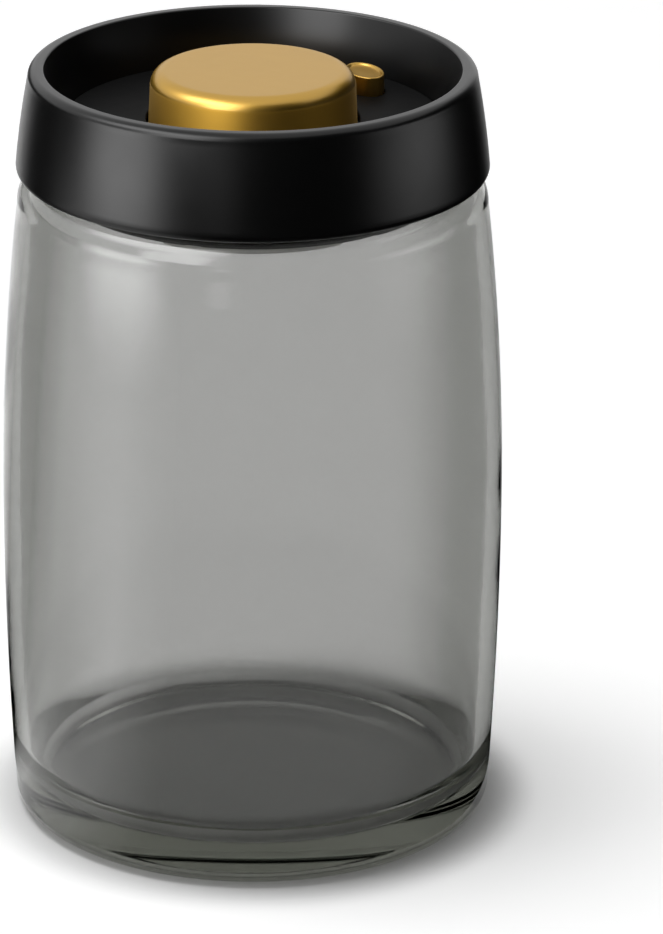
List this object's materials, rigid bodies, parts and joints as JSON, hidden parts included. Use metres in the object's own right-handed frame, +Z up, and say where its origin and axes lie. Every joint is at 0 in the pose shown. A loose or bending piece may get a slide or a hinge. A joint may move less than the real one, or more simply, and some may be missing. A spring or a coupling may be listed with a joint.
{
  "type": "vacuum seal canister",
  "caption": "Clear glass storage jar with a bulged body and a black push-on lid that has a sunken deck, a gold press-pump knob and a small release button.",
  "frame": {"origin": "centre of the jar's foot, on the surface that it stands on", "axes": "+Z up along the jar's axis, -Y towards the pictured side, +X to its right"},
  "size_m": [0.1, 0.1, 0.1541],
  "materials": {
    "clear_glass": "clear soda glass, polished",
    "collar_black": "satin moulded black",
    "deck_black": "fine spark-textured black",
    "base_black": "satin moulded black",
    "knob_gold": "satin gold anodised",
    "silicone_white": "matt silicone",
    "seal_black": "matt rubber",
    "cylinder_white": "natural nylon",
    "filter_felt": "pressed felt",
    "spring_steel": "drawn wire",
    "screw_steel": "zinc plated"
  },
  "bodies": {
    "jar": {"glass_jar": "clear_glass"},
    "lid": {"lid_collar": "collar_black", "lid_deck": "deck_black", "lid_base": "base_black", "lid_gasket": "silicone_white", "lid_screws": "screw_steel", "pump_cylinder": "cylinder_white", "cylinder_seal": "seal_black", "cylinder_screws": "screw_steel", "intake_valve": "silicone_white", "intake_filter": "filter_felt", "filter_cover": "cylinder_white", "pump_spring": "spring_steel", "release_seat": "cylinder_white", "release_spring": "spring_steel"},
    "pump": {"pump_knob": "knob_gold", "knob_core": "base_black", "piston": "cylinder_white", "piston_seal": "seal_black", "exhaust_valve": "silicone_white", "piston_screw": "screw_steel"},
    "release": {"release_button": "knob_gold", "release_stem": "base_black", "release_plug": "silicone_white", "release_clip": "spring_steel"}
  },
  "joints": [
    {"name": "lid_lift", "type": "slide", "parent": "jar", "child": "lid", "axis": [0, 0, 1], "range_m": [0, 0.12]},
    {"name": "pump_press", "type": "slide", "parent": "lid", "child": "pump", "axis": [0, 0, -1], "range_m": [0, 0.007], "stiffness_N_per_m": 900, "springref_m": -0.006, "deforming": ["pump_spring"]},
    {"name": "release_press", "type": "slide", "parent": "lid", "child": "release", "axis": [0, 0, -1], "range_m": [0, 0.0025], "stiffness_N_per_m": 500, "springref_m": -0.004, "deforming": ["release_spring"]}
  ]
}
